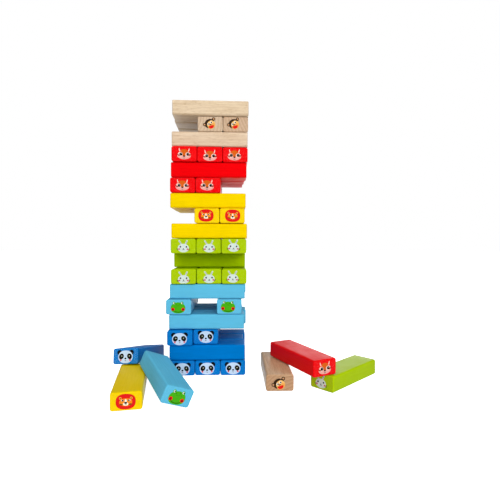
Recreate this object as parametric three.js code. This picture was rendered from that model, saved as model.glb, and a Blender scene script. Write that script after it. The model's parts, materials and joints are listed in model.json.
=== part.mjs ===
// A children's tumbling tower: wooden blocks stacked three to a layer, each layer crossing the one below, in six
// bands of three layers. Each band is one colour and one printed animal, and has had one block pulled out of it.
// The six pulled blocks lie in front of the tower, three on each side.
//
// Millimetres, +Z up. The origin is on the ground, on the tower's own centre line. -Y is the front.

import * as THREE from 'three';

// Driving dimensions
const BLOCK = { width: 24.8, length: 75, height: 14.8 }; // X, Y and Z of a block that lies end-on to the front
const LONG_EDGE_RADIUS = 2.0; // along the four long edges
const END_EDGE_RADIUS = 0.9; // round the rim of each end
const LAYER_GAP = 0.3; // sanded faces touch only at their high spots
const BLOCK_PITCH = 25.1; // from block to block across a layer
const LAYER_PITCH = BLOCK.height + LAYER_GAP;

// The bands from the ground up, three layers each
const LAYERS_PER_BAND = 3;
const BANDS = [
  { animal: 'panda', colour: 0x0a74c4 },
  { animal: 'frog', colour: 0x5ebce4 },
  { animal: 'rabbit', colour: 0xa9cb0a },
  { animal: 'lion', colour: 0xfad800 },
  { animal: 'squirrel', colour: 0xe8121a },
  { animal: 'monkey', colour: 0xe2c8a8, bare: true },
];

// The places in a layer: left to right where its blocks lie end-on, front to back where they lie side-on
const END_ON_PLACES = ['left', 'middle', 'right'];
const SIDE_ON_PLACES = ['front', 'middle', 'back'];
const PULLED = null;

// The layers from the ground up. at is how far play has nudged the layer off the centre line in X and Y, turn is
// its turn in degrees, and push is how far each block stands out along its own length: towards the back
// where the blocks lie end-on, towards the left where they lie side-on.
const LAYERS = [
  { at: [-0.3, -2.0], turn: 0, push: [-0.5, 0, -0.5] },
  { at: [-0.6, -2.0], turn: 0, push: [0, 1, -1] },
  { at: [-2.5, -0.5], turn: 0, push: [-3.5, 1.5, PULLED] },
  { at: [-1.7, 1.0], turn: 0.4, push: [0, -2.5, 0.8] },
  { at: [-3.9, 0], turn: -0.3, push: [-1, PULLED, 1] },
  { at: [-0.4, 1.5], turn: -0.6, push: [0, 0.5, -1.5] },
  { at: [0.8, 0.5], turn: 0, push: [-1, 1.5, 0] },
  { at: [-0.1, 0.5], turn: 0.5, push: [PULLED, 0, 1] },
  { at: [0.7, 1.0], turn: -0.4, push: [0, 1, -1] },
  { at: [1.0, 1.5], turn: 0, push: [0, -1, 0.5] },
  { at: [-1.4, 0.3], turn: 0.3, push: [PULLED, 0.5, -0.5] },
  { at: [-0.5, 1.8], turn: 0.6, push: [0, 0.3, -0.2] },
  { at: [-0.6, 1.2], turn: 0.7, push: [0.3, 0, PULLED] },
  { at: [0.1, 1.2], turn: 0.9, push: [0, 1.2, 2.2] },
  { at: [1.4, 0], turn: 0.4, push: [-1.5, 0, 1] },
  { at: [1.3, 0.8], turn: 0.5, push: [0, 0.5, -0.5] },
  { at: [2.0, 1.2], turn: 0, push: [PULLED, 0, 0.5] },
  { at: [1.9, -1.0], turn: 0.9, push: [0, 1, 1] },
];

// The pulled blocks: where the middle of each lies, then its lean, roll and turn in degrees about X, Y and Z
const LYING = BLOCK.height / 2;
const BRIDGING = BLOCK.height + 0.4 + BLOCK.height / 2;
const LOOSE_BLOCKS = [
  { animal: 'lion', at: [-64.3, -83.2, LYING], tilt: [0, 0, 9.4] },
  { animal: 'panda', at: [-71.6, -14.8, 15.5], tilt: [-11.9, -3.9, -8.6] },
  { animal: 'frog', at: [-34, -87.2, 15.35], tilt: [7.5, 22.2, 28.4] },
  { animal: 'monkey', at: [66.7, -46, LYING], tilt: [0, 0, 0] },
  { animal: 'squirrel', at: [89.8, -55.4, BRIDGING], tilt: [0, 0, 24.9] },
  { animal: 'rabbit', at: [132.1, -56.1, LYING], tilt: [0, 0, -47.6] },
];

const radians = THREE.MathUtils.degToRad;

// A block seen end-on, with its four long edges rounded
function section() {
  const x = BLOCK.width / 2;
  const y = BLOCK.height / 2;
  const r = LONG_EDGE_RADIUS;
  return new THREE.Shape()
    .absarc(x - r, y - r, r, 0, Math.PI / 2)
    .absarc(r - x, y - r, r, Math.PI / 2, Math.PI)
    .absarc(r - x, r - y, r, Math.PI, 1.5 * Math.PI)
    .absarc(x - r, r - y, r, 1.5 * Math.PI, 2 * Math.PI);
}

// One block, centred on its own middle, its length along Y, with the rims of its ends rounded too
function block(name, band) {
  const straight = BLOCK.length - 2 * END_EDGE_RADIUS;
  const shape = new THREE.ExtrudeGeometry(section(), {
    depth: straight,
    curveSegments: 2,
    bevelThickness: END_EDGE_RADIUS,
    bevelSize: END_EDGE_RADIUS,
    bevelOffset: -END_EDGE_RADIUS,
    bevelSegments: 2,
  });
  shape.translate(0, 0, -straight / 2);
  shape.rotateX(-Math.PI / 2);
  const mesh = new THREE.Mesh(shape, finish(band));
  mesh.name = name;
  return mesh;
}

// Satin paint, or bare sanded wood on the band that has none
function finish(band) {
  return new THREE.MeshStandardMaterial({
    color: band.colour,
    roughness: band.bare ? 0.6 : 0.38,
    metalness: 0,
  });
}

// Three places across a turned group, with each block pushed along its own length
function layer(number) {
  const { at, turn, push } = LAYERS[number - 1];
  const band = BANDS[Math.floor((number - 1) / LAYERS_PER_BAND)];
  const endOn = number % 2 === 1;
  const places = endOn ? END_ON_PLACES : SIDE_ON_PLACES;
  const group = new THREE.Group();
  group.position.set(at[0], at[1], (number - 1) * LAYER_PITCH + BLOCK.height / 2);
  group.rotation.z = radians(turn) + (endOn ? 0 : Math.PI / 2);
  places.forEach((place, index) => {
    if (push[index] === PULLED) return;
    const mesh = block(`layer_${String(number).padStart(2, '0')}_${place}`, band);
    mesh.position.set((index - 1) * BLOCK_PITCH, push[index], 0);
    group.add(mesh);
  });
  return group;
}

function looseBlock({ animal, at, tilt }) {
  const mesh = block(`loose_${animal}`, BANDS.find((band) => band.animal === animal));
  mesh.position.set(...at);
  mesh.rotation.set(...tilt.map(radians), 'ZYX');
  return mesh;
}

const tower = new THREE.Group();
for (let number = 1; number <= LAYERS.length; number += 1) tower.add(layer(number));
LOOSE_BLOCKS.forEach((loose) => tower.add(looseBlock(loose)));

export default tower;
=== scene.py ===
import json
import math

import bpy
from mathutils import Matrix, Vector, noise


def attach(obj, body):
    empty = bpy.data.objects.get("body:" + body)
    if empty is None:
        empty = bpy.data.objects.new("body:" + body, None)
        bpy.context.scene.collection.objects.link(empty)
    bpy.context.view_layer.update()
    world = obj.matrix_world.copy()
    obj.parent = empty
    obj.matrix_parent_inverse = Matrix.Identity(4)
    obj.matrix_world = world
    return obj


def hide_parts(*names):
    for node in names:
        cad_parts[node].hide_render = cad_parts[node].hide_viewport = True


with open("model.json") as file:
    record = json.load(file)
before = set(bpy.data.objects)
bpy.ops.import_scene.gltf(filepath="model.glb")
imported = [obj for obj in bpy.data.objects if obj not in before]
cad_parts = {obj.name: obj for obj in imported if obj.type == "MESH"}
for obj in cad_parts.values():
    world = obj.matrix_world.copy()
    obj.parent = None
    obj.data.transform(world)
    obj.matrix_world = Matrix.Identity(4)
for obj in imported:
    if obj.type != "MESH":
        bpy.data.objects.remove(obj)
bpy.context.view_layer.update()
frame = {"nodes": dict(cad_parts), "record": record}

# A children's tumbling tower. Every wooden block is grown by one Geometry Nodes tree, which rounds it, gives
# it its own place in the tree trunk, and stamps the animal of its colour band on both ends in layers of ink.

MM = 0.001

# ---------------------------------------------------------------- the block and its parts, in metres
BLOCK_WIDTH, BLOCK_LENGTH, BLOCK_HEIGHT = 24.8 * MM, 75 * MM, 14.8 * MM
LONG_EDGE = 2.0 * MM               # how far the four long edges are rounded
END_EDGE = 0.9 * MM                # and the rims of the ends
LONG_STEPS, END_STEPS = 4, 3       # facets across half of each rounding
# Each side of a block, the edge that rounds its ends, and the facets along the flat between them
SIDES = (("Width", "Long", 4.0), ("Length", "End", 12.0), ("Height", "Long", 2.0))
EDGE_WAVER = 0.22                  # how unevenly the edges are sanded, as a part of the radius
SANDING_SAG = 0.05 * MM            # how far the long faces dip below true
SANDING_SWELL = 14 * MM            # how long the waves in the edges are
SAG_SWELL = 22 * MM                # and those in the faces
INK_STEP = 0.02 * MM               # thickness of one pass of ink
INK_LAP = 0.001 * MM               # and how much each patch of a pass stands above the one before it
INK_ROOM = 0.14 * MM               # how far the ends are set back, so that the ink stays inside the block
INK_ROOT = 0.12 * MM               # how far the ink reaches down into the wood
# The nearest and farthest places from the pith that a block was cut from, with the trunk along Z
TRUNK_PLACES = (0.03, 0, -0.5), (0.09, 0, 0.5)

# ---------------------------------------------------------------- colours


def srgb(red, green, blue):
    """A screen colour, 0 to 255, as the linear colour that nodes take."""
    def linear(value):
        value /= 255
        return value / 12.92 if value <= 0.04045 else ((value + 0.055) / 1.055) ** 2.4
    return linear(red), linear(green), linear(blue), 1.0


PAINT_COLOURS = {
    "dark_blue_paint": srgb(0, 122, 204),
    "light_blue_paint": srgb(98, 194, 230),
    "green_paint": srgb(175, 206, 0),
    "yellow_paint": srgb(250, 214, 0),
    "red_paint": srgb(246, 5, 12),
}
# How strongly each paint mirrors the room
PAINT_SHINE = {
    "dark_blue_paint": 0.1,
    "light_blue_paint": 0.25,
    "green_paint": 0.45,
    "yellow_paint": 0.25,
    "red_paint": 0.6,
}
# How strongly the clear sealer and the printing ink do
SEALER_SHINE, INK_SHINE = 0.45, 0.2
# How far apart the growth rings are, and how much the corners are rubbed, on paint also a painted rim
# highlight
PAINTED_RING_GAP, PAINT_WEAR_AND_RIM_HIGHLIGHT = 2.1 * MM, 0.26
BARE_RING_GAP, BARE_WEAR = 3.1 * MM, 0.3
# How deep the grain is in the wood and in the ink, and the size of the uneven spots in the ink
GRAIN_RELIEF, INK_RELIEF, INK_MOTTLE = 0.06 * MM, 0.04 * MM, 0.9 * MM
WOODS = {
    "pale": srgb(232, 214, 188),
    "honey": srgb(224, 198, 158),
    "rosy": srgb(224, 194, 166),
    "toasted": srgb(206, 164, 122),
}
# How much of the wood shows: through paint put on thin, and as a deeper brown where the wood is bare
WOOD_SHOWS = {"loose_panda": 1.0, "loose_monkey": 0.75, "layer_17_middle": 0.0, "layer_17_right": 0.45}
USUALLY_SHOWS = 0.25
INKS = {
    "black": srgb(6, 6, 8),
    "frost": srgb(198, 219, 242),
    "white": srgb(250, 248, 240),
    "olive": srgb(92, 96, 58),
    "rose": srgb(228, 74, 92),
    "dusky": srgb(206, 98, 112),
    "leaf": srgb(70, 176, 2),
    "moss": srgb(24, 84, 2),
    "scarlet": srgb(232, 14, 12),
    "maroon": srgb(120, 6, 8),
    "silver": srgb(208, 224, 216),
    "lilac": srgb(172, 174, 188),
    "slate": srgb(52, 84, 104),
    "charcoal": srgb(50, 44, 44),
    "vermilion": srgb(226, 18, 14),
    "orange": srgb(247, 140, 12),
    "amber": srgb(250, 176, 60),
    "cream": srgb(253, 244, 222),
    "umber": srgb(112, 84, 14),
    "blush": srgb(236, 168, 158),
    "shell": srgb(246, 206, 192),
    "rust": srgb(216, 94, 6),
    "brick": srgb(176, 30, 22),
    "tan": srgb(246, 190, 104),
    "flesh": srgb(206, 152, 108),
    "sand": srgb(236, 168, 84),
    "bark": srgb(52, 32, 14),
    "cherry": srgb(226, 16, 10),
}

# ---------------------------------------------------------------- wiring up node trees


class Graph:
    """Adds nodes to a tree and wires them up."""

    def __init__(self, tree):
        self.tree = tree

    def feed(self, socket, value):
        if isinstance(value, bpy.types.Node):
            value = value.outputs[0]
        if isinstance(value, bpy.types.NodeSocket):
            self.tree.links.new(value, socket)
        else:
            socket.default_value = value

    def node(self, kind, inputs=None, **settings):
        node = self.tree.nodes.new(kind)
        for name, value in settings.items():
            setattr(node, name, value)
        for key, value in (inputs or {}).items():
            self.feed(node.inputs[key], value)
        return node

    def math(self, operation, *values, clamp=False):
        inputs = dict(enumerate(values))
        return self.node("ShaderNodeMath", inputs, operation=operation, use_clamp=clamp).outputs[0]

    def vector(self, operation, *values):
        node = self.node("ShaderNodeVectorMath", dict(enumerate(values)), operation=operation)
        return node.outputs["Value" if operation == "LENGTH" else "Vector"]

    def combine(self, x=0.0, y=0.0, z=0.0):
        return self.node("ShaderNodeCombineXYZ", {0: x, 1: y, 2: z}).outputs[0]

    def split(self, vector):
        return self.node("ShaderNodeSeparateXYZ", {0: vector}).outputs

    def scale(self, vector, factor):
        node = self.node("ShaderNodeVectorMath", {0: vector, "Scale": factor}, operation="SCALE")
        return node.outputs["Vector"]

    def fade(self, value, low, high, to_low=0.0, to_high=1.0):
        """value, eased from to_low where it is at low to to_high where it is at high."""
        node = self.node(
            "ShaderNodeMapRange",
            {0: value, 1: low, 2: high, 3: to_low, 4: to_high},
            interpolation_type="SMOOTHSTEP",
        )
        return node.outputs[0]

    def noise(self, place, scale, detail, roughness=0.5):
        inputs = {"Vector": place, "Scale": scale, "Detail": detail, "Roughness": roughness}
        return self.node("ShaderNodeTexNoise", inputs)

    def blend(self, factor, first, second, mode="MIX"):
        node = self.node("ShaderNodeMix", data_type="RGBA", blend_type=mode)
        for index, value in ((0, factor), (6, first), (7, second)):
            self.feed(node.inputs[index], value)
        return node.outputs[2]

    def weigh(self, total, *parts):
        """total, with each part's value added to it at its weight."""
        for value, weight in parts:
            total = self.math("ADD", total, self.math("MULTIPLY", value, weight))
        return total

    def attribute(self, name, output):
        return self.node("ShaderNodeAttribute", attribute_name=name).outputs[output]


def group(name, kind, inputs, outputs):
    """A new node group, with its graph and its input and output nodes. Sockets are given as name to type,
    or to (type, default)."""
    tree = bpy.data.node_groups.new(name, kind)
    for in_out, sockets in (("INPUT", inputs), ("OUTPUT", outputs)):
        for label, spec in sockets.items():
            spec = spec if isinstance(spec, tuple) else (spec,)
            socket = tree.interface.new_socket(label, in_out=in_out, socket_type="NodeSocket" + spec[0])
            if len(spec) > 1:
                socket.default_value = spec[1]
    graph = Graph(tree)
    return tree, graph, graph.node("NodeGroupInput"), graph.node("NodeGroupOutput")


# ---------------------------------------------------------------- shader groups that every finish shares


def timber_group():
    """Growth rings round the trunk, fibres and broad streaks along it, ray flecks as short dashes, and pores
    that show as dots on end grain. Place is where the wood grew, with Z along the trunk."""
    tree, g, given, out = group(
        "timber",
        "ShaderNodeTree",
        {"Place": "Vector", "Ring Gap": ("Float", 2.0 * MM)},
        {"Rings": "Float", "Fibres": "Float", "Streaks": "Float", "Flecks": "Float", "Pores": "Float"},
    )
    place = given.outputs["Place"]

    def drawn_out(along, size, detail, roughness):
        """Noise drawn out along the trunk, its features this wide across it."""
        stretched = g.vector("MULTIPLY", place, (1, 1, along))
        return g.noise(stretched, 1 / size, detail, roughness)

    bend = drawn_out(0.06, 26 * MM, 2, 0.5).outputs["Color"]
    bend = g.scale(g.vector("SUBTRACT", bend, (0.5, 0.5, 0.5)), 5 * MM)
    across = g.vector("MULTIPLY", g.vector("ADD", place, bend), (1, 1, 0))
    year = g.math("DIVIDE", g.vector("LENGTH", across), given.outputs["Ring Gap"])
    ramp = g.node("ShaderNodeValToRGB", {0: g.math("FRACT", year)})
    ramp.color_ramp.interpolation = "B_SPLINE"
    for position, value in ((0.35, 0.12), (0.75, 0.6), (0.9, 1.0)):
        ramp.color_ramp.elements.new(position).color = (value, value, value, 1)
    ramp.color_ramp.elements[-1].color = (0, 0, 0, 1)
    g.feed(out.inputs["Rings"], ramp.outputs[0])
    g.feed(out.inputs["Fibres"], drawn_out(0.03, 0.45 * MM, 3, 0.6).outputs[0])
    g.feed(out.inputs["Streaks"], g.fade(drawn_out(0.07, 1.7 * MM, 2, 0.55).outputs[0], 0.38, 0.68))
    g.feed(out.inputs["Flecks"], g.fade(drawn_out(0.14, 0.7 * MM, 1, 0.4).outputs[0], 0.6, 0.7))
    g.feed(out.inputs["Pores"], g.fade(drawn_out(0.09, 0.42 * MM, 1, 0.4).outputs[0], 0.6, 0.7))
    return tree


def worn_edge_group():
    """Where the corners have been rubbed, and on paint a painted highlight along the rims: strongest right on
    an edge, and broken up along it.
    """
    tree, g, given, out = group(
        "worn edge",
        "ShaderNodeTree",
        {
            "Edge Gap": "Float",
            "Place": "Vector",
            "Reach": ("Float", 0.8 * MM),
            "Amount": ("Float", 0.4),
        },
        {"Wear": "Float"},
    )
    gap = g.math("DIVIDE", given.outputs["Edge Gap"], given.outputs["Reach"])
    nearness = g.math("SUBTRACT", 1.0, gap, clamp=True)
    broken = g.noise(given.outputs["Place"], 1 / (5 * MM), 4, 0.65)
    threshold = g.math("SUBTRACT", 1.12, given.outputs["Amount"])
    rubbed = g.math("ADD", nearness, g.math("SUBTRACT", broken.outputs[0], 0.5))
    g.feed(out.inputs["Wear"], g.fade(rubbed, threshold, g.math("ADD", threshold, 0.18)))
    return tree


def handling_group():
    """Soft smudges from fingers, and the fine unevenness of a brushed or sprayed film."""
    tree, g, given, out = group(
        "handling",
        "ShaderNodeTree",
        {"Place": "Vector"},
        {"Smudge": "Float", "Film": "Float"},
    )
    smudge = g.noise(given.outputs["Place"], 1 / (16 * MM), 3, 0.55)
    g.feed(out.inputs["Smudge"], g.fade(smudge.outputs[0], 0.3, 0.7))
    film = g.noise(given.outputs["Place"], 1 / (1.1 * MM), 2, 0.5)
    g.feed(out.inputs["Film"], film.outputs[0])
    return tree


TIMBER, WORN_AND_HIGHLIT_RIM, HANDLING = timber_group(), worn_edge_group(), handling_group()

# ---------------------------------------------------------------- finishes


def tinted(colour, factor):
    """The colour, this much lighter or darker."""
    return tuple(min(1.0, channel * factor) for channel in colour[:3]) + (1.0,)


def new_finish(name):
    material = bpy.data.materials.new(name)
    material.use_nodes = True
    graph = Graph(material.node_tree)
    shader = material.node_tree.nodes["Principled BSDF"]
    return material, graph, shader


def raise_grain(g, shader, height, strength, relief):
    """Lets a finish's height stand up to relief off the surface."""
    bump = g.node("ShaderNodeBump", {"Height": height, "Strength": strength, "Distance": relief})
    g.feed(shader.inputs["Normal"], bump)


def wood_maps(g, ring_gap, wear_and_rim_highlight_amount):
    """The maps that a finish is mixed from, read at the place where the block grew: rings, fibres, streaks,
    flecks, pores, smudge, film, and wear and rim highlight (the rubbed rims, on paint also a painted
    highlight), and the block's own end, tone and shows."""
    place = g.attribute("grown", "Vector")
    timber = g.node("ShaderNodeGroup", node_tree=TIMBER)
    g.feed(timber.inputs["Place"], place)
    g.feed(timber.inputs["Ring Gap"], ring_gap)
    handling = g.node("ShaderNodeGroup", node_tree=HANDLING)
    g.feed(handling.inputs["Place"], place)
    worn = g.node("ShaderNodeGroup", node_tree=WORN_AND_HIGHLIT_RIM)
    g.feed(worn.inputs["Edge Gap"], g.attribute("edge_gap", "Fac"))
    g.feed(worn.inputs["Place"], place)
    g.feed(worn.inputs["Amount"], wear_and_rim_highlight_amount)
    maps = {socket.name.lower(): socket for node in (timber, handling, worn) for socket in node.outputs}
    for key, name in (("end", "end_grain"), ("tone", "tone"), ("shows", "wood_shows")):
        maps[key] = g.attribute(name, "Fac")
    return maps


def painted(name, colour, shine):
    """Satin paint over sanded wood. The grain shows through a little, the pores of the end grain drink the
    paint and show as pale specks where it was put on thin, and it is rubbed pale on the corners, which
    along every rim also serves as a painted highlight."""
    material, g, shader = new_finish(name)
    maps = wood_maps(g, PAINTED_RING_GAP, PAINT_WEAR_AND_RIM_HIGHLIGHT)
    shade = g.blend(g.fade(maps["fibres"], 0.3, 0.75), tinted(colour, 1.02), tinted(colour, 0.9))
    # how much of each layer there is, and how far it takes the paint down
    layers = (
        (g.math("MULTIPLY", maps["streaks"], 0.45), 0.82),
        (g.math("MULTIPLY", maps["rings"], 0.16), 0.8),
        (g.fade(maps["tone"], -1, 1, 0.0, 0.5), 0.9),
        (g.math("MULTIPLY", maps["smudge"], 0.25), 0.84),
    )
    for amount, depth in layers:
        shade = g.blend(amount, shade, tinted(colour, depth))
    # the pale of paint rubbed thin: specks in the end grain pores, and the rims, where it is wear and also a
    # painted highlight
    pale = tuple(0.62 * channel + 0.30 for channel in colour[:3]) + (1.0,)
    speck = g.math("MULTIPLY", maps["pores"], g.math("MULTIPLY", maps["end"], maps["shows"]))
    for amount in (speck, g.math("MULTIPLY", maps["wear"], 0.5)):
        shade = g.blend(amount, shade, pale)
    g.feed(shader.inputs["Base Color"], shade)
    roughness = g.fade(maps["fibres"], 0.2, 0.8, 0.38, 0.48)
    g.feed(shader.inputs["Roughness"], g.weigh(roughness, (maps["smudge"], 0.08), (maps["wear"], 0.2)))
    paint = (maps["film"], 0.35)
    wood = (maps["fibres"], 0.5), (maps["pores"], -0.35), (maps["streaks"], 0.5)
    height = g.weigh(0.0, paint, *wood)
    raise_grain(g, shader, height, 0.35, GRAIN_RELIEF)
    shader.inputs["Specular IOR Level"].default_value = shine
    shader.inputs["Specular Tint"].default_value = colour
    return material


def bare_wood(name):
    """Pale close-grained hardwood under a thin satin sealer, darker where the end grain drinks it."""
    material, g, shader = new_finish(name)
    maps = wood_maps(g, BARE_RING_GAP, BARE_WEAR)
    shade = g.blend(g.fade(maps["tone"], 0, 1, 0.0, 0.5), WOODS["pale"], WOODS["honey"])
    shade = g.blend(g.fade(maps["tone"], 0, -1, 0.0, 0.5), shade, WOODS["rosy"])
    shade = g.blend(g.fade(maps["shows"], USUALLY_SHOWS, 1.0), shade, WOODS["toasted"])
    # how much of each layer of grain there is, and the shade that it multiplies the wood by
    layers = (
        (g.math("MULTIPLY", maps["rings"], g.fade(maps["end"], 0, 1, 0.3, 0.8)), (0.7, 0.6, 0.5, 1)),
        (g.fade(maps["fibres"], 0.45, 0.7, 0.0, 0.75), (0.86, 0.8, 0.72, 1)),
        (g.math("MULTIPLY", maps["streaks"], g.fade(maps["end"], 0, 1, 0.5, 0.25)), (0.8, 0.73, 0.64, 1)),
        (g.math("MULTIPLY", maps["flecks"], g.fade(maps["end"], 0, 1, 0.4, 0.2)), (0.66, 0.54, 0.42, 1)),
        (g.math("MULTIPLY", maps["pores"], 0.3), (0.6, 0.5, 0.4, 1)),
        (g.math("MULTIPLY", maps["smudge"], 0.3), (0.88, 0.85, 0.8, 1)),
        (g.math("MULTIPLY", maps["end"], 0.8), (0.83, 0.76, 0.72, 1)),
        (g.math("MULTIPLY", maps["wear"], 0.8), (0.6, 0.48, 0.36, 1)),
    )
    for amount, colour in layers:
        shade = g.blend(amount, shade, colour, "MULTIPLY")
    g.feed(shader.inputs["Base Color"], shade)
    roughness = g.fade(maps["fibres"], 0.2, 0.8, 0.27, 0.38)
    g.feed(shader.inputs["Roughness"], g.weigh(roughness, (maps["smudge"], 0.08)))
    height = g.weigh(0.0, (maps["fibres"], 0.6), (maps["rings"], -0.3), (maps["pores"], -0.6))
    raise_grain(g, shader, height, 0.4, GRAIN_RELIEF)
    shader.inputs["Specular IOR Level"].default_value = SEALER_SHINE
    return material


def printing_ink():
    """Pad-printing ink. Each patch carries its own colour, laid a little unevenly over the end grain."""
    material, g, shader = new_finish("printing_ink")
    place = g.attribute("grown", "Vector")
    timber = g.node("ShaderNodeGroup", node_tree=TIMBER)
    g.feed(timber.inputs["Place"], place)
    patchy = g.noise(place, 1 / INK_MOTTLE, 3, 0.6).outputs[0]
    thin = g.fade(patchy, 0.35, 0.7, 0.0, 0.16)
    shade = g.blend(thin, g.attribute("ink", "Color"), (0.62, 0.62, 0.62, 1.0), "MULTIPLY")
    pinholes = g.math("MULTIPLY", timber.outputs["Pores"], 0.3)
    shade = g.blend(pinholes, shade, (0.75, 0.75, 0.75, 1.0), "MULTIPLY")
    g.feed(shader.inputs["Base Color"], shade)
    g.feed(shader.inputs["Roughness"], g.fade(patchy, 0.2, 0.8, 0.34, 0.5))
    height = g.weigh(timber.outputs["Fibres"], (timber.outputs["Pores"], -0.6))
    raise_grain(g, shader, height, 0.3, INK_RELIEF)
    shader.inputs["Specular IOR Level"].default_value = INK_SHINE
    return material


FINISHES = {slot: painted(slot, colour, PAINT_SHINE[slot]) for slot, colour in PAINT_COLOURS.items()}
FINISHES["bare_wood"] = bare_wood("bare_wood")
INK = printing_ink()

# ---------------------------------------------------------------- outlines of the printed animals
# A patch is (ink, kind, rows), in millimetres, with u to the right and v up. The rows of a disc are loops of
# points from its rim in, and those of a strip are its two sides.

ROUND_POINTS, ROUND_RINGS = 40, 5
MOUTH_STEPS = 14
MONKEY_TIP, MONKEY_SHIFT = 32, (0.2, -0.3)


def placed(x, y, u, v, turn):
    """A point of a shape that is turned, in degrees, and then moved to u and v."""
    spin = math.radians(turn)
    return u + x * math.cos(spin) - y * math.sin(spin), v + x * math.sin(spin) + y * math.cos(spin)


def oval(ink, u, v, half_width, half_height, turn=0.0, power=2.0):
    """A filled oval. A power over 2 squares it off."""
    def squared(value):
        return math.copysign(abs(value) ** (2 / power), value)
    rings = []
    for ring in range(ROUND_RINGS + 1):
        size = 1 - ring / (ROUND_RINGS + 1)
        loop = []
        for index in range(ROUND_POINTS):
            angle = 2 * math.pi * index / ROUND_POINTS
            x = squared(math.cos(angle)) * half_width * size
            y = squared(math.sin(angle)) * half_height * size
            loop.append(placed(x, y, u, v, turn))
        rings.append(loop)
    return ink, "disc", rings


def curve_through(points, steps):
    """Points along a smooth curve that passes through the ones given."""
    def between(p, q, r, s, t):
        bend, twist = 2 * p - 5 * q + 4 * r - s, 3 * q - p - 3 * r + s
        return 0.5 * (2 * q + (r - p) * t + bend * t * t + twist * t ** 3)
    ends = [points[0], *points, points[-1]]
    path = []
    for a, b, c, d in zip(ends, ends[1:], ends[2:], ends[3:]):
        for step in range(steps):
            path.append(tuple(between(*values, step / steps) for values in zip(a, b, c, d)))
    return path + [tuple(points[-1])]


def direction(start, end):
    """The way from one point to another, one long."""
    du, dv = end[0] - start[0], end[1] - start[1]
    size = math.hypot(du, dv)
    return du / size, dv / size


def stroke(ink, points, steps=6):
    """A brush stroke with round ends through (u, v, half-width) points."""
    path = curve_through(points, steps)
    left, right = [], []
    for index, (u, v, half) in enumerate(path):
        du, dv = direction(path[max(index - 1, 0)], path[min(index + 1, len(path) - 1)])
        left.append((u - dv * half, v + du * half))
        right.append((u + dv * half, v - du * half))
    return ink, "strip", round_ends(path, left, right)


def round_ends(path, left, right):
    """Adds a half-round cap to each end of a strip."""
    def cap(tip, before):
        u, v, half = tip
        du, dv = direction(before, tip)
        sides = []
        for angle in (30, 60, 85):
            reach, spread = half * math.sin(math.radians(angle)), half * math.cos(math.radians(angle))
            x, y = u + du * reach, v + dv * reach
            sides.append(((x - dv * spread, y + du * spread), (x + dv * spread, y - du * spread)))
        return sides
    start = [(b, a) for a, b in cap(path[0], path[1])][::-1]
    finish = cap(path[-1], path[-2])
    lefts = [a for a, b in start] + left + [a for a, b in finish]
    rights = [b for a, b in start] + right + [b for a, b in finish]
    return [lefts, rights]


def mirrored(make, ink, u, v, *sizes, turn=0.0):
    """The same shape on both sides of the face."""
    return [make(ink, -u, v, *sizes, turn=turn), make(ink, u, v, *sizes, turn=-turn)]


def half_disc(ink, u, v, half_width, depth, turn=0.0):
    """An open mouth: nearly straight above and round below."""
    top, bottom = [], []
    for step in range(MOUTH_STEPS + 1):
        x = -half_width * math.cos(math.pi * step / MOUTH_STEPS)
        round_off = math.sqrt(max(0.0, 1 - (x / half_width) ** 2))
        top.append(placed(x, 0.16 * depth * round_off, u, v, turn))
        bottom.append(placed(x, -depth * round_off - 0.001, u, v, turn))
    return ink, "strip", [top, bottom]


def panda():
    return [
        mirrored(oval, "black", 5.9, 4.0, 2.35, 2.4, turn=-20),
        [oval("frost", 0, 0, 7.2, 5.9, power=2.15)],
        mirrored(oval, "black", 4.05, 0.4, 2.3, 2.75, turn=-28)
        + [oval("black", 0, -1.5, 1.0, 0.8)]
        + mirrored(oval, "rose", 4.6, -3.0, 0.9, 0.8)
        + [stroke("charcoal", [(-0.6, -3.3, 0.17), (0, -3.6, 0.2), (0.6, -3.3, 0.17)])],
        mirrored(oval, "olive", 3.75, 0.6, 0.75, 0.9, turn=-15),
        [oval("white", -3.6, 0.8, 0.33, 0.36), oval("white", 3.9, 0.8, 0.33, 0.36)],
    ]


def frog():
    smile = [(-4.5, -2.5, 0.22), (-2.4, -3.7, 0.3), (0, -4.1, 0.32), (2.4, -3.7, 0.3), (4.5, -2.5, 0.22)]
    return [
        [oval("leaf", 0, 0, 7.2, 5.3, power=2.3), oval("leaf", 0.2, 3.3, 3.9, 2.4)]
        + mirrored(oval, "leaf", 3.9, 4.8, 1.45, 1.6),
        mirrored(oval, "white", 3.95, 4.9, 0.85, 0.95)
        + mirrored(oval, "scarlet", 5.0, -1.2, 1.7, 1.65)
        + mirrored(oval, "moss", 0.9, 2.3, 0.28, 0.34)
        + [oval("moss", -2.0, 3.6, 0.4, 0.3), oval("moss", 1.6, 3.9, 0.42, 0.3)]
        + [oval("moss", 3.2, 2.4, 0.35, 0.28)],
        [oval("black", -3.65, 4.95, 0.5, 0.65), oval("black", 4.3, 4.95, 0.5, 0.65)]
        + mirrored(oval, "maroon", 5.15, -1.45, 0.8, 0.85)
        + [stroke("moss", smile)],
    ]


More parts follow.
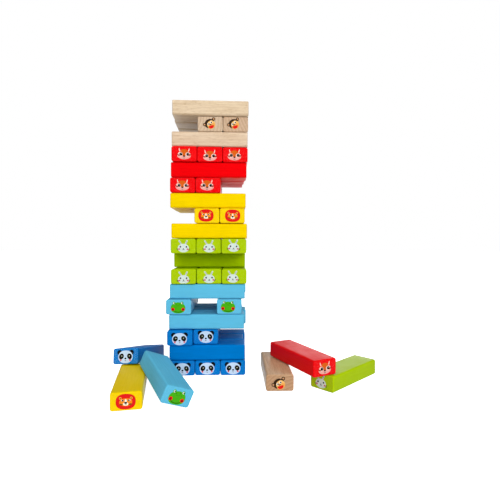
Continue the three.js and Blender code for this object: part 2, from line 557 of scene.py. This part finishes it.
def rabbit():
    return [
        [
            stroke("silver", [(-1.6, 3.2, 0.62), (-3.0, 5.1, 0.7), (-4.3, 7.0, 0.75)]),
            stroke("silver", [(1.6, 3.2, 0.62), (2.5, 5.2, 0.7), (3.4, 7.2, 0.75)]),
            stroke("charcoal", [(-4.4, -1.2, 0.38), (-6.5, -0.8, 0.3)]),
            stroke("charcoal", [(4.4, -1.2, 0.38), (6.5, -0.8, 0.3)]),
            stroke("charcoal", [(-4.6, -1.9, 0.3), (-6.3, -2.0, 0.25)]),
            stroke("charcoal", [(4.6, -1.9, 0.3), (6.3, -2.0, 0.25)]),
        ],
        [
            oval("silver", 0, -0.1, 5.5, 4.2, power=2.15),
            stroke("lilac", [(-2.2, 4.2, 0.3), (-3.2, 5.5, 0.38), (-4.0, 6.7, 0.34)]),
            stroke("lilac", [(2.1, 4.3, 0.3), (2.7, 5.6, 0.38), (3.2, 6.8, 0.34)]),
        ],
        mirrored(oval, "white", 2.9, 1.2, 1.1, 1.05)
        + mirrored(oval, "dusky", 4.2, -1.15, 0.95, 0.85)
        + [oval("charcoal", 0.1, -0.75, 0.42, 0.5)]
        + [stroke("charcoal", [(-0.75, -1.75, 0.2), (0.1, -1.45, 0.22), (0.95, -1.75, 0.2)])],
        mirrored(oval, "slate", 2.95, 1.15, 0.88, 0.92),
        mirrored(oval, "black", 3.1, 1.0, 0.5, 0.55),
    ]


def lion():
    return [
        [oval("vermilion", 0, 0, 7.6, 6.1, power=2.5)],
        mirrored(oval, "amber", 4.15, 2.7, 1.0, 1.0)
        + [oval("orange", 0, -0.5, 4.9, 3.0, power=2.3)],
        mirrored(oval, "umber", 4.05, 2.6, 0.5, 0.5)
        + mirrored(oval, "umber", 3.4, -2.2, 1.25, 0.6, turn=-16)
        + mirrored(oval, "cream", 2.5, 0.95, 1.0, 0.7, turn=-12),
        [oval("cream", 0, 0.5, 0.75, 1.6), oval("cream", 0, -1.85, 1.95, 1.35, power=2.3)]
        + mirrored(oval, "black", 2.3, 0.9, 0.68, 0.65),
        [oval("black", 0, -0.95, 1.05, 0.85)]
        + [stroke("charcoal", [(-0.7, -2.6, 0.14), (0, -2.3, 0.14), (0.7, -2.6, 0.14)])],
    ]


def squirrel():
    return [
        [
            stroke("shell", [(-4.3, 2.6, 0.55), (-4.7, 3.8, 0.45), (-4.9, 5.0, 0.28)]),
            stroke("shell", [(4.3, 2.6, 0.55), (4.7, 3.8, 0.45), (4.9, 5.0, 0.28)]),
            oval("blush", 0, -1.9, 6.6, 3.6, power=2.1),
            oval("rust", 0, 1.6, 3.7, 2.7, power=2.2),
            oval("rust", 0, 0.0, 2.2, 2.6),
        ],
        mirrored(oval, "shell", 3.7, -0.65, 2.4, 2.1, turn=-10)
        + [stroke("rust", [(0, 1.0, 1.5), (0, -0.8, 0.9), (0, -1.7, 0.35)])],
        [oval("black", -3.05, -0.6, 1.45, 1.45), oval("black", 3.75, -0.6, 1.45, 1.45)]
        + [oval("black", 0.05, -2.5, 0.95, 0.75)]
        + [stroke("charcoal", [(-0.8, -4.2, 0.2), (0, -4.5, 0.22), (0.8, -4.2, 0.2)])]
        + [stroke("brick", [(-4.5, -1.9, 0.5), (-5.5, -1.5, 0.6), (-6.8, -0.7, 0.35)])]
        + [stroke("brick", [(4.9, -1.6, 0.6), (5.8, -1.2, 0.7), (6.9, -0.5, 0.4)])],
        [oval("white", -2.65, -0.15, 0.22, 0.22), oval("white", 4.15, -0.15, 0.22, 0.22)],
    ]


def tipped(patch):
    """The same patch, tipped as the monkey's face is."""
    ink, kind, rows = patch
    return ink, kind, [[placed(x, y, *MONKEY_SHIFT, MONKEY_TIP) for x, y in row] for row in rows]


def monkey():
    """Drawn upright, then tipped to one side."""
    hair = [
        (-4.1, -1.8, 0.5), (-4.4, 0.4, 1.2), (-3.2, 2.8, 1.5), (-0.9, 3.9, 1.3),
        (1.5, 3.9, 0.9), (3.4, 2.7, 0.5), (4.3, 0.8, 0.3),
    ]
    passes = [
        mirrored(oval, "bark", 5.2, 2.5, 1.65, 1.65) + [stroke("bark", hair)],
        mirrored(oval, "flesh", 5.3, 2.5, 0.8, 0.8)
        + [oval("tan", 0.3, -0.8, 4.0, 3.8), oval("sand", 0.0, -2.4, 3.9, 2.5)],
        [oval("white", -1.6, 0.9, 1.1, 1.15), oval("white", 1.3, 1.0, 1.05, 1.15)]
        + [half_disc("cherry", -0.5, -1.9, 2.7, 2.6, turn=-14)],
        [oval("black", -1.35, 0.75, 0.7, 0.75), oval("black", 1.5, 0.85, 0.65, 0.75)]
        + [oval("bark", -0.3, -0.55, 0.8, 0.5)],
    ]
    return [[tipped(patch) for patch in patches] for patches in passes]


# Each finish's animal: every block of a colour band carries the same one
ANIMALS = {
    "dark_blue_paint": panda,
    "light_blue_paint": frog,
    "green_paint": rabbit,
    "yellow_paint": lion,
    "red_paint": squirrel,
    "bare_wood": monkey,
}

# ---------------------------------------------------------------- printed patches as closed shells of ink


def patch_faces(kind, rows, first):
    """The faces of a patch's upper skin, and the loop of its rim."""
    count = len(rows[0])
    faces = []
    if kind == "disc":
        for ring in range(len(rows) - 1):
            for index in range(count):
                ahead = (index + 1) % count
                a, b = first + ring * count, first + (ring + 1) * count
                faces.append((a + index, a + ahead, b + ahead, b + index))
        last = first + (len(rows) - 1) * count
        faces.append(tuple(last + index for index in range(count)))
        return faces, [first + index for index in range(count)]
    left, right = range(first, first + count), range(first + count, first + 2 * count)
    for index in range(count - 1):
        faces.append((left[index + 1], left[index], right[index], right[index + 1]))
    return faces, [*right, *reversed(left)]


def print_mesh(name, passes):
    """One animal as closed patches. Points lie flat, and lift says how far each is to stand off the wood."""
    points, faces, lifts, colours = [], [], [], []
    for level, patches in enumerate(passes, start=1):
        for order, (ink, kind, rows) in enumerate(patches):
            first = len(points)
            flat = [point for row in rows for point in row]
            skin, rim = patch_faces(kind, rows, first)
            drop = len(flat)
            for lift in (level * INK_STEP + order * INK_LAP, -INK_ROOT):
                points += [(u * MM, 0, v * MM) for u, v in flat]
                lifts += [lift] * drop
            colours += [INKS[ink]] * (2 * drop)
            faces += skin + [tuple(index + drop for index in reversed(face)) for face in skin]
            for here, ahead in zip(rim, rim[1:] + rim[:1]):
                faces.append((ahead, here, here + drop, ahead + drop))
    mesh = bpy.data.meshes.new(name)
    mesh.from_pydata(points, [], faces)
    mesh.attributes.new("lift", "FLOAT", "POINT").data.foreach_set("value", lifts)
    ink = mesh.attributes.new("ink", "FLOAT_COLOR", "POINT")
    ink.data.foreach_set("color", [channel for colour in colours for channel in colour])
    mesh.validate()
    stamp = bpy.data.objects.new(name, mesh)
    bpy.context.scene.collection.objects.link(stamp)
    return stamp


STAMPS = {slot: print_mesh("stamp_" + animal.__name__, animal()) for slot, animal in ANIMALS.items()}

# ---------------------------------------------------------------- the Geometry Nodes that grow a block


def edge_spacing_group():
    """Moves one coordinate of an even grid, -1 to 1, to where a finely rounded box wants its points: evenly
    round each rounded edge, then evenly along the flat between them."""
    tree, g, given, out = group(
        "edge spacing",
        "GeometryNodeTree",
        {
            "Coordinate": "Float",
            "Half": "Float",
            "Radius": "Float",
            "Edge Steps": "Float",
            "Half Steps": "Float",
        },
        {"Value": "Float"},
    )
    coordinate, half, radius = (given.outputs[label] for label in ("Coordinate", "Half", "Radius"))
    steps, half_steps = given.outputs["Edge Steps"], given.outputs["Half Steps"]
    inward = g.math("MULTIPLY", g.math("SUBTRACT", 1.0, g.math("ABSOLUTE", coordinate)), half_steps)
    angle = g.math("MULTIPLY", g.math("SUBTRACT", 1.0, g.math("DIVIDE", inward, steps)), math.pi / 4)
    flat = g.math("SUBTRACT", half, radius)
    rounded = g.math("ADD", flat, g.math("MULTIPLY", radius, g.math("TANGENT", angle)))
    left = g.math("DIVIDE", g.math("SUBTRACT", half_steps, inward), g.math("SUBTRACT", half_steps, steps))
    on_flat = g.math("GREATER_THAN", inward, g.math("ADD", steps, 0.01))
    choice = {0: on_flat, 2: rounded, 3: g.math("MULTIPLY", flat, left)}
    value = g.node("ShaderNodeMix", choice, data_type="FLOAT").outputs[0]
    g.feed(out.inputs["Value"], g.math("MULTIPLY", value, g.math("SIGN", coordinate)))
    return tree


def store(g, geometry, name, kind, value):
    """Keeps a value on every point under this name, for a finish to read."""
    node = g.node("GeometryNodeStoreNamedAttribute", data_type=kind, domain="POINT")
    for key, item in (("Geometry", geometry), ("Name", name), ("Value", value)):
        g.feed(node.inputs[key], item)
    return node.outputs[0]


def random_between(g, low, high, seed, number, kind="FLOAT"):
    """One random value for the whole block: with its ID linked, it doesn't change from point to point.
    Each use has a number of its own."""
    node = g.node("FunctionNodeRandomValue", data_type=kind)
    minimum, maximum, output = {"FLOAT": (2, 3, 1), "FLOAT_VECTOR": (0, 1, 0)}[kind]
    own_number = g.node("FunctionNodeInputInt", integer=number)
    for key, item in ((minimum, low), (maximum, high), ("ID", own_number), ("Seed", seed)):
        g.feed(node.inputs[key], item)
    return node.outputs[output]


def spaced_grid(g, given, spacing):
    """A cube gridded for rounding, half of each of the block's sides, and where the cube's points lie on a
    block with square corners."""
    cube = g.node("GeometryNodeMeshCube", {"Size": (2.0, 2.0, 2.0)})
    parts = g.split(g.node("GeometryNodeInputPosition"))
    halves, places = [], []
    for index, (side, edge, flat_steps) in enumerate(SIDES):
        half = g.math("MULTIPLY", given.outputs[side], 0.5)
        steps = given.outputs[edge + " Steps"]
        count = g.math("ADD", g.math("MULTIPLY", steps, 2.0), flat_steps + 1.0)
        g.feed(cube.inputs[1 + index], count)
        half_steps = g.math("MULTIPLY", g.math("SUBTRACT", count, 1.0), 0.5)
        spaced = g.node("GeometryNodeGroup", node_tree=spacing)
        values = (parts[index], half, given.outputs[edge + " Edge"], steps, half_steps)
        for socket, value in zip(spaced.inputs, values):
            g.feed(socket, value)
        halves.append(half)
        places.append(spaced.outputs[0])
    return cube.outputs["Mesh"], halves, places


def round_across(g, place, halves, long_edge):
    """Across the block: the core that the rounding leaves, the way out from it to a point, and how far."""
    across = g.vector("MULTIPLY", place, (1, 0, 1))
    width, height = (g.math("SUBTRACT", halves[index], long_edge) for index in (0, 2))
    inner = g.combine(x=width, z=height)
    core = g.vector("MAXIMUM", g.vector("MINIMUM", across, inner), g.scale(inner, -1.0))
    past = g.vector("SUBTRACT", across, core)
    apart = g.split(g.vector("ABSOLUTE", past))
    return core, g.vector("NORMALIZE", past), g.math("MAXIMUM", apart[0], apart[2])


def round_along(g, along, reach, half_length, shoulder, end_edge, dip):
    """Along the block, the same again between its side and its end: how far out and how far along a point
    comes to lie."""
    straight = g.math("SUBTRACT", half_length, end_edge)
    outside = g.math("MAXIMUM", g.math("SUBTRACT", reach, shoulder), 0.0)
    beyond = g.math("MAXIMUM", g.math("SUBTRACT", along, straight), 0.0)
    rim = g.split(g.vector("NORMALIZE", g.combine(x=outside, y=beyond)))
    wide = g.math("ADD", g.math("MINIMUM", reach, shoulder), g.math("MULTIPLY", rim[0], end_edge))
    wide = g.math("SUBTRACT", wide, g.math("MULTIPLY", dip, rim[0]))
    far = g.math("ADD", g.math("MINIMUM", along, straight), g.math("MULTIPLY", rim[1], end_edge))
    return wide, far


def sanded_block_group(spacing):
    """One block of wood, its length along Y, rounded by formula from a grid. Across the block a square corner
    becomes a quarter circle. Then the rims of the ends are rounded the same way, with their own radius."""
    tree, g, given, out = group(
        "sanded block",
        "GeometryNodeTree",
        {
            "Width": "Float", "Length": "Float", "Height": "Float",
            "Long Edge": "Float", "End Edge": "Float", "Long Steps": "Int", "End Steps": "Int",
            "Waver": "Float", "Sag": "Float", "Seed": "Int",
        },
        {"Geometry": "Geometry"},
    )
    cube, halves, places = spaced_grid(g, given, spacing)
    place = g.combine(*places)
    shift = random_between(g, (-1.0, -1.0, -1.0), (1.0, 1.0, 1.0), given.outputs["Seed"], 7, "FLOAT_VECTOR")
    noise_place = g.vector("ADD", place, shift)
    sanding = g.math("SUBTRACT", g.noise(noise_place, 1 / SANDING_SWELL, 1).outputs[0], 0.5)
    uneven = g.math("ADD", 1.0, g.math("MULTIPLY", sanding, given.outputs["Waver"]))
    long_edge = g.math("MULTIPLY", given.outputs["Long Edge"], uneven)
    end_edge = g.math("MULTIPLY", given.outputs["End Edge"], uneven)
    dip = g.math("MULTIPLY", g.noise(noise_place, 1 / SAG_SWELL, 1).outputs[0], given.outputs["Sag"])

    core, way, reach = round_across(g, place, halves, long_edge)
    along = g.math("ABSOLUTE", places[1])
    shoulder = g.math("SUBTRACT", long_edge, end_edge)
    wide, far = round_along(g, along, reach, halves[1], shoulder, end_edge, dip)
    end = g.combine(y=g.math("MULTIPLY", far, g.math("SIGN", places[1])))
    surface = g.vector("ADD", g.vector("ADD", core, g.scale(way, wide)), end)
    moved = g.node("GeometryNodeSetPosition", {"Geometry": cube, "Position": surface})
    smooth = g.node("GeometryNodeSetShadeSmooth", {"Geometry": moved})
    g.feed(out.inputs["Geometry"], smooth)
    return tree


def gap_to_edge(g, given, position):
    """How far a point is from the nearest edge: the middle one of its gaps to the three pairs of faces."""
    half = g.scale(g.combine(*(given.outputs[side] for side in ("Width", "Length", "Height"))), 0.5)
    gap = g.split(g.vector("SUBTRACT", half, g.vector("ABSOLUTE", position)))
    total = g.math("ADD", g.math("ADD", gap[0], gap[1]), gap[2])
    largest = g.math("MAXIMUM", g.math("MAXIMUM", gap[0], gap[1]), gap[2])
    smallest = g.math("MINIMUM", g.math("MINIMUM", gap[0], gap[1]), gap[2])
    return g.math("SUBTRACT", total, g.math("ADD", largest, smallest))


def place_in_trunk(g, seed, position):
    """Where the block grew: a random distance out from the pith, at a random turn, with the trunk along Z."""
    x, y, z = g.split(position)
    turn = random_between(g, 0.0, 2 * math.pi, seed, 1)
    turned = {"Vector": g.combine(x, z, y), "Angle": turn}
    grown = g.node("ShaderNodeVectorRotate", turned, rotation_type="Z_AXIS")
    return g.vector("ADD", grown, random_between(g, *TRUNK_PLACES, seed, 2, "FLOAT_VECTOR"))


def grown_block_group(sanded):
    """A sanded block with an animal printed on both ends, and the attributes that its finish reads."""
    tree, g, given, out = group(
        "grown block",
        "GeometryNodeTree",
        {
            "Geometry": "Geometry",
            "Width": ("Float", BLOCK_WIDTH),
            "Length": ("Float", BLOCK_LENGTH),
            "Height": ("Float", BLOCK_HEIGHT),
            "Long Edge": ("Float", LONG_EDGE),
            "End Edge": ("Float", END_EDGE),
            "Long Steps": ("Int", LONG_STEPS),
            "End Steps": ("Int", END_STEPS),
            "Waver": ("Float", EDGE_WAVER),
            "Sag": ("Float", SANDING_SAG),
            "Ink Room": ("Float", INK_ROOM),
            "Seed": "Int", "Wood Shows": ("Float", USUALLY_SHOWS),
            "Finish": "Material", "Ink": "Material", "Stamp": "Object",
            "Front Shift": "Vector", "Front Turn": "Float", "Back Shift": "Vector", "Back Turn": "Float",
        },
        {"Geometry": "Geometry"},
    )
    seed = given.outputs["Seed"]
    block = g.node("GeometryNodeGroup", node_tree=sanded)
    for socket in block.inputs:
        g.feed(socket, given.outputs[socket.name])
    # the wood itself is cut short, to leave room for the ink
    short = g.math("SUBTRACT", given.outputs["Length"], g.math("MULTIPLY", given.outputs["Ink Room"], 2.0))
    g.feed(block.inputs["Length"], short)
    wood = block.outputs[0]
    printed = printed_ends(g, given, wood)
    wood = g.node("GeometryNodeSetMaterial", {"Geometry": wood, "Material": given.outputs["Finish"]})
    printed = g.node("GeometryNodeSetMaterial", {"Geometry": printed, "Material": given.outputs["Ink"]})
    joined = g.node("GeometryNodeJoinGeometry")
    for geometry in (printed, wood):
        g.tree.links.new(geometry.outputs[0], joined.inputs[0])
    joined = joined.outputs[0]

    position = g.node("GeometryNodeInputPosition").outputs[0]
    facing = g.split(g.node("GeometryNodeInputNormal"))[1]
    joined = store(g, joined, "edge_gap", "FLOAT", gap_to_edge(g, given, position))
    joined = store(g, joined, "grown", "FLOAT_VECTOR", place_in_trunk(g, seed, position))
    joined = store(g, joined, "end_grain", "FLOAT", g.fade(g.math("ABSOLUTE", facing), 0.5, 0.95))
    joined = store(g, joined, "tone", "FLOAT", random_between(g, -1.0, 1.0, seed, 3))
    joined = store(g, joined, "wood_shows", "FLOAT", given.outputs["Wood Shows"])
    realized = g.node("GeometryNodeRealizeInstances", {"Geometry": joined})
    g.feed(out.inputs["Geometry"], realized)
    return tree


def printed_ends(g, given, wood):
    """The stamp laid on both ends: each point is dropped along the block until it meets the wood."""
    stamp = g.node("GeometryNodeObjectInfo", {"Object": given.outputs["Stamp"]}).outputs["Geometry"]
    ends = g.node("GeometryNodeJoinGeometry")
    for label, turn in (("Front", 0.0), ("Back", math.pi)):
        shift, tilt = given.outputs[label + " Shift"], g.combine(y=given.outputs[label + " Turn"])
        set_off = g.node("GeometryNodeTransform", {"Geometry": stamp, "Translation": shift, "Rotation": tilt})
        clear = g.combine(y=g.math("MULTIPLY", given.outputs["Length"], -1.0))
        cleared = g.node("GeometryNodeTransform", {"Geometry": set_off, "Translation": clear})
        faced = g.node("GeometryNodeTransform", {"Geometry": cleared, "Rotation": (0.0, 0.0, turn)})
        g.tree.links.new(faced.outputs[0], ends.inputs[0])
    place = g.node("GeometryNodeInputPosition").outputs[0]
    inward = g.combine(y=g.math("MULTIPLY", g.math("SIGN", g.split(place)[1]), -1.0))
    drop = g.node("GeometryNodeRaycast", {"Source Position": place, "Ray Direction": inward})
    g.feed(drop.inputs["Target Geometry"], wood)
    g.feed(drop.inputs["Ray Length"], given.outputs["Length"])
    lift = g.node("GeometryNodeInputNamedAttribute", {"Name": "lift"}, data_type="FLOAT")
    seated = g.vector("ADD", drop.outputs["Hit Position"], g.scale(drop.outputs["Hit Normal"], lift))
    draped = g.node("GeometryNodeSetPosition", {"Geometry": ends, "Position": seated})
    g.feed(draped.inputs["Selection"], drop.outputs["Is Hit"])
    return draped.outputs[0]


GROWN_BLOCK = grown_block_group(sanded_block_group(edge_spacing_group()))

# ---------------------------------------------------------------- the blocks, where the frame has them

# Where a print sits off the middle of its block's front end, in millimetres right and up
PRINT_SHIFTS = {
    "layer_01_left": (0.4, -0.7), "layer_01_middle": (-0.5, -0.6), "layer_01_right": (0.2, -0.4),
    "layer_03_left": (0.0, -0.75), "layer_03_middle": (0.3, 0.0),
    "layer_05_left": (-0.3, -0.9), "layer_05_right": (-1.2, -0.6),
    "layer_07_left": (0.2, -2.7), "layer_07_middle": (0.1, -2.4), "layer_07_right": (-1.4, -1.9),
    "layer_09_left": (0.2, -1.9), "layer_09_middle": (0.5, -1.9), "layer_09_right": (-0.3, -1.3),
    "layer_11_middle": (-0.9, 0.2), "layer_11_right": (0.4, 0.0),
    "layer_13_left": (-0.2, 0.1), "layer_13_middle": (-0.9, 0.3),
    "layer_15_left": (0.1, 0.0), "layer_15_middle": (0.1, -1.0), "layer_15_right": (-0.8, 0.0),
    "layer_17_middle": (0.1, 0.1), "layer_17_right": (-1.4, 0.4),
    "loose_lion": (-0.3, -0.1), "loose_frog": (-0.2, -1.2), "loose_panda": (0.0, -0.6),
    "loose_monkey": (-0.3, -0.6), "loose_squirrel": (-0.2, 0.0), "loose_rabbit": (-1.0, -1.6),
}
# and where it sits on every other end of that finish
USUAL_SHIFT = {"green_paint": (0.0, -1.8), "dark_blue_paint": (0.0, -0.5), "light_blue_paint": (0.0, -0.8)}


def block_place(node):
    """The turn and middle of a block, read off the largest faces of its CAD solid."""
    faces = sorted(node.data.polygons, key=lambda face: face.area, reverse=True)
    up = faces[0].normal.copy()
    if up.z < 0:
        up.negate()
    side = next(face.normal.copy() for face in faces if abs(face.normal.dot(up)) < 0.1)
    back = up.cross(side)
    if back.y < -0.1 or (abs(back.y) <= 0.1 and back.x > 0):
        back.negate()
    right = back.cross(up)
    turn = Matrix((right, back, up))
    reach = list(zip(*(turn @ vertex.co for vertex in node.data.vertices)))
    middle = Vector([(min(values) + max(values)) / 2 for values in reach])
    return Matrix.Translation(turn.transposed() @ middle) @ turn.transposed().to_4x4()


def set_inputs(modifier, values):
    """Sets a modifier's inputs by their names, before its object is first evaluated."""
    identifiers = {
        item.name: item.identifier
        for item in modifier.node_group.interface.items_tree
        if item.item_type == "SOCKET" and item.in_out == "INPUT"
    }
    for name, value in values.items():
        modifier[identifiers[name]] = value


def print_turn(seed, end):
    """A stamp lands a few degrees off square, differently on each end."""
    return math.radians(3.0 * noise.noise(Vector((seed * 1.37, end * 5.1, 0.3))))


def build_block(name, slot, seed):
    """Grows the block's finished piece where its CAD solid stands."""
    back = USUAL_SHIFT.get(slot, (0.0, 0.0))
    front = PRINT_SHIFTS.get(name, back)
    piece = bpy.data.objects.new("wood_" + name, bpy.data.meshes.new("wood_" + name))
    bpy.context.scene.collection.objects.link(piece)
    modifier = piece.modifiers.new("grown", "NODES")
    modifier.node_group = GROWN_BLOCK
    set_inputs(modifier, {
        "Seed": seed, "Wood Shows": WOOD_SHOWS.get(name, USUALLY_SHOWS),
        "Finish": FINISHES[slot], "Ink": INK, "Stamp": STAMPS[slot],
        "Front Shift": (front[0] * MM, 0.0, front[1] * MM), "Front Turn": print_turn(seed, 0),
        "Back Shift": (back[0] * MM, 0.0, back[1] * MM), "Back Turn": print_turn(seed, 1),
    })
    depsgraph = bpy.context.evaluated_depsgraph_get()
    mesh = bpy.data.meshes.new_from_object(piece.evaluated_get(depsgraph), depsgraph=depsgraph)
    piece.modifiers.clear()
    mesh.transform(block_place(frame["nodes"][name]))
    piece.data = mesh
    mesh.name = piece.name
    return piece


slots = {part["node"]: part["material_slot"] for part in frame["record"]["subparts"]}
body_of = {node: body for body, nodes in frame["record"]["behaviour"]["bodies"].items() for node in nodes}
for seed, name in enumerate(sorted(slots)):
    block = build_block(name, slots[name], seed)
    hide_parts(name)
    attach(block, body_of[name])
for stamp in STAMPS.values():
    bpy.data.objects.remove(stamp)

# ---------------------------------------------------------------- the studio


WALL_GLOW, ROOM_GLOW = 2.1, 0.21
KEY_POWER, TOP_POWER = 130.0, 4.6
FLOOR_REACH, FLOOR_CORNERS = 6.0, 96
CAMERA_PLACE = (26.97 * MM, -431.27 * MM, 132.34 * MM)
CAMERA_TURN, CAMERA_TILT, CAMERA_ROLL = -2.125, -1.149, 0.139      # degrees
CAMERA_LENS = 28.55


def pale_floor():
    """A wide pale table that fades into the backdrop."""
    mesh = bpy.data.meshes.new("floor")
    angles = [2 * math.pi * index / FLOOR_CORNERS for index in range(FLOOR_CORNERS)]
    corners = [(FLOOR_REACH * math.cos(angle), FLOOR_REACH * math.sin(angle), 0) for angle in angles]
    mesh.from_pydata(corners, [], [tuple(range(FLOOR_CORNERS))])
    material, g, shader = new_finish("pale_floor")
    shader.inputs["Base Color"].default_value = (0.93, 0.93, 0.93, 1.0)
    shader.inputs["Roughness"].default_value = 0.9
    shader.inputs["Specular IOR Level"].default_value = 0.0
    shader.inputs["Emission Color"].default_value = (1.0, 1.0, 1.0, 1.0)
    g.feed(shader.inputs["Emission Strength"], g.node("ShaderNodeLightPath").outputs["Is Camera Ray"])
    mesh.materials.append(material)
    floor = bpy.data.objects.new("floor", mesh)
    bpy.context.scene.collection.objects.link(floor)
    floor.visible_glossy = False


def soft_light(name, place, aim, width, depth, power):
    """A wide lamp that the blocks' gloss doesn't mirror."""
    data = bpy.data.lights.new(name, "AREA")
    data.shape = "RECTANGLE"
    data.size = width
    data.size_y = depth
    data.energy = power
    light = bpy.data.objects.new(name, data)
    bpy.context.scene.collection.objects.link(light)
    light.location = place
    light.rotation_euler = (Vector(aim) - Vector(place)).to_track_quat("-Z", "Y").to_euler()
    light.visible_glossy = False


def white_surround():
    """White all round to the camera. As light it is a dim room, and behind the tower a wall that is dark but
    for its lower part and a bright window to the right."""
    world = bpy.data.worlds.new("studio")
    bpy.context.scene.world = world
    world.use_nodes = True
    g = Graph(world.node_tree)
    # how far right, back and up the way looked in points
    right, back, up = g.split(g.node("ShaderNodeTexCoord").outputs["Generated"])
    window = g.math("MULTIPLY", g.fade(right, 0.05, 0.14), g.fade(right, 0.36, 0.48, 1.0, 0.0))
    wall = g.fade(window, 0.0, 1.0, g.fade(up, -0.05, 0.03, 0.5, 0.04), 1.0)
    band = g.fade(g.math("ABSOLUTE", up), 0.5, 0.85, 1.0, 0.0)
    wall = g.math("MULTIPLY", wall, g.math("MULTIPLY", g.fade(back, 0.55, 0.85), band))
    room = g.fade(back, 0.1, 0.6, ROOM_GLOW, 0.15 * ROOM_GLOW)
    strength = g.math("ADD", g.math("MULTIPLY", wall, WALL_GLOW), room)
    seen = g.node("ShaderNodeLightPath").outputs["Is Camera Ray"]
    shine = g.node("ShaderNodeMix", {0: seen, 2: strength, 3: 1.0}, data_type="FLOAT").outputs[0]
    plain = world.node_tree.nodes["Background"]
    plain.inputs["Color"].default_value = (1.0, 1.0, 1.0, 1.0)
    g.feed(plain.inputs["Strength"], shine)


def front_camera():
    """Just right of the tower and level with its middle, turned a little to the right."""
    data = bpy.data.cameras.new("camera")
    data.sensor_width = 36
    data.lens = CAMERA_LENS
    camera = bpy.data.objects.new("camera", data)
    bpy.context.scene.collection.objects.link(camera)
    turn = Matrix.Rotation(math.radians(CAMERA_TURN), 4, "Z")
    tilt = Matrix.Rotation(math.radians(90 + CAMERA_TILT), 4, "X")
    roll = Matrix.Rotation(math.radians(CAMERA_ROLL), 4, "Z")
    camera.matrix_world = Matrix.Translation(CAMERA_PLACE) @ turn @ tilt @ roll
    bpy.context.scene.camera = camera


pale_floor()
white_surround()
soft_light("key", place=(0.75, -3.2, 1.66), aim=(0, 0, 0.12), width=5.5, depth=2.2, power=KEY_POWER)
soft_light("top", place=(0, -0.14, 1.35), aim=(0, -0.08, 0), width=0.7, depth=0.5, power=TOP_POWER)
front_camera()
bpy.context.scene.view_settings.view_transform = "Standard"
